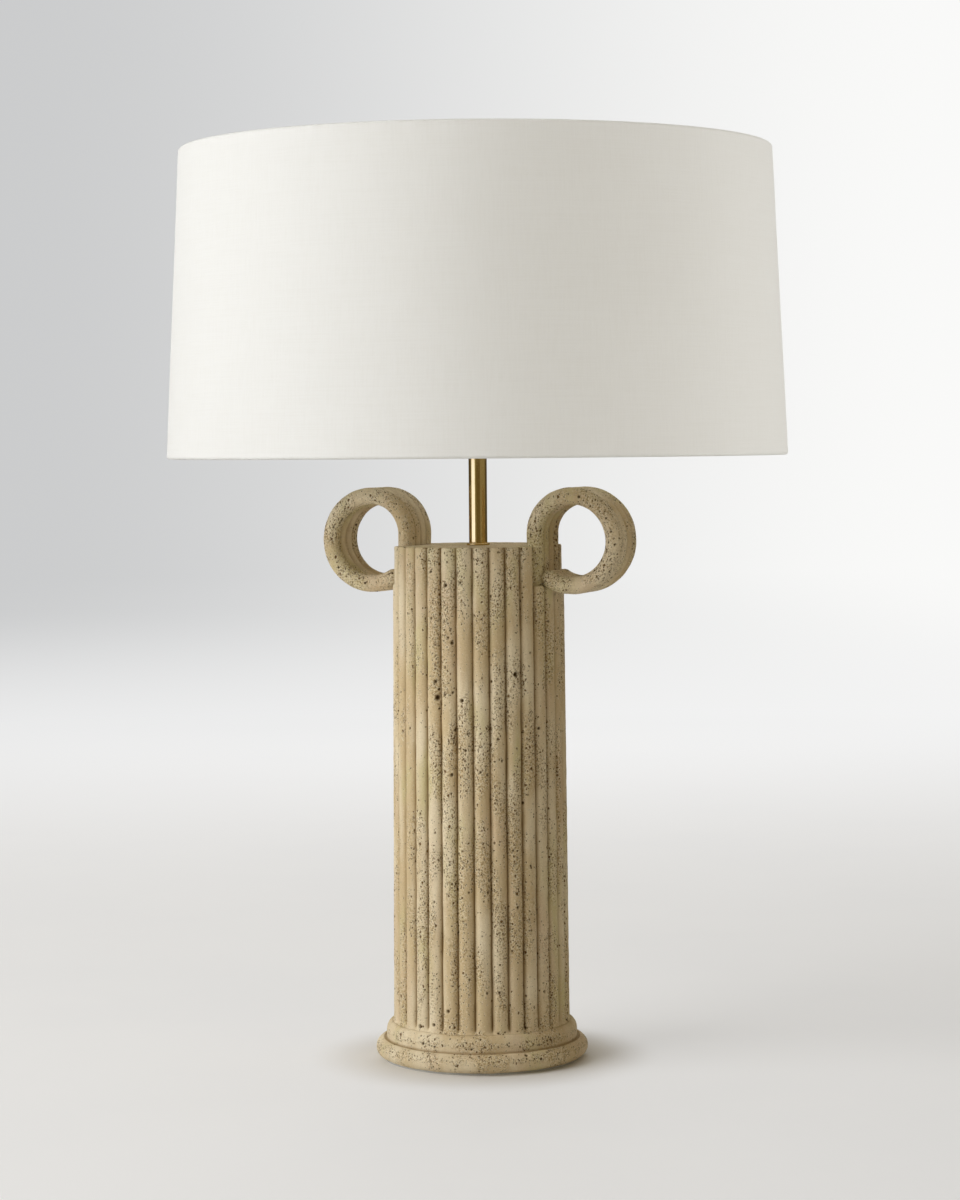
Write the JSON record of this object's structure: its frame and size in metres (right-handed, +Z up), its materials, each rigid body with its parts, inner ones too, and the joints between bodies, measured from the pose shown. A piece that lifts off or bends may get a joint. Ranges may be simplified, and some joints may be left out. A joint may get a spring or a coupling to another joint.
{
  "type": "table lamp",
  "caption": "Table lamp with a reeded stone-look column, curled side handles, a brass stem and a white drum shade on a harp.",
  "frame": {"origin": "on the table, under the middle of the foot", "axes": "+Z up along the stem, the handles along X, the cord outlet towards +Y (the back)"},
  "size_m": [0.5077, 0.5078, 0.7598],
  "materials": {
    "stone": "cast travertine look, warm beige, open pits, dull",
    "brass": "satin antique brass",
    "steel": "plain steel",
    "zinc": "zinc plated",
    "felt": "pressed felt, pale grey",
    "black_plastic": "moulded, matt black",
    "insulating_paper": "vulcanised fibre paper",
    "shade_linen": "fine plain weave, off-white, matt",
    "shade_styrene": "white styrene sheet",
    "opal_glass": "frosted white"
  },
  "bodies": {
    "lamp_body": {"plinth": "stone", "column": "stone", "right_handle": "stone", "left_handle": "stone", "check_ring": "brass", "stem_tube": "brass", "stem_cap": "brass", "harp_saddle": "brass", "saddle_nut": "brass", "socket_cap": "brass", "socket_shell": "brass", "screw_shell": "brass", "centre_contact": "brass", "live_terminal_screw": "brass", "harp_wire": "brass", "harp_top_plate": "brass", "harp_stud": "brass", "ballast_plate": "steel", "cap_set_screw": "steel", "lock_washer": "zinc", "foot_nut": "zinc", "threaded_pipe": "zinc", "neutral_terminal_screw": "zinc", "felt_pad": "felt", "cord_bushing": "black_plastic", "socket_body": "black_plastic", "shell_insulator": "insulating_paper"},
    "shade": {"shade_cover": "shade_linen", "shade_liner": "shade_styrene", "top_wire_ring": "zinc", "bottom_wire_ring": "zinc", "top_rolled_edge": "shade_linen", "bottom_rolled_edge": "shade_linen", "spider_hub": "zinc", "spider_arms": "zinc"},
    "finial": {"finial": "brass"},
    "bulb": {"bulb_globe": "opal_glass", "bulb_screw_cap": "zinc", "bulb_insulator": "black_plastic", "bulb_contact": "zinc"},
    "knob": {"turn_knob": "black_plastic", "knob_shaft": "steel"},
    "right_ferrule": {"right_ferrule": "brass"},
    "left_ferrule": {"left_ferrule": "brass"}
  },
  "joints": [
    {"name": "shade_turn", "type": "hinge", "parent": "lamp_body", "child": "shade", "pos_m": [0, 0, 0.7349], "axis": [0, 0, 1], "continuous": true},
    {"name": "finial_lift", "type": "slide", "parent": "lamp_body", "child": "finial", "axis": [0, 0, 1], "range_m": [0, 0.012]},
    {"name": "bulb_lift", "type": "slide", "parent": "lamp_body", "child": "bulb", "axis": [0, 0, 1], "range_m": [0, 0.024]},
    {"name": "knob_turn", "type": "hinge", "parent": "lamp_body", "child": "knob", "pos_m": [0, -0.0205, 0.5467], "axis": [0, -1, 0], "continuous": true},
    {"name": "right_ferrule_lift", "type": "slide", "parent": "lamp_body", "child": "right_ferrule", "axis": [0, 0, 1], "range_m": [0, 0.015]},
    {"name": "left_ferrule_lift", "type": "slide", "parent": "lamp_body", "child": "left_ferrule", "axis": [0, 0, 1], "range_m": [0, 0.015]}
  ]
}
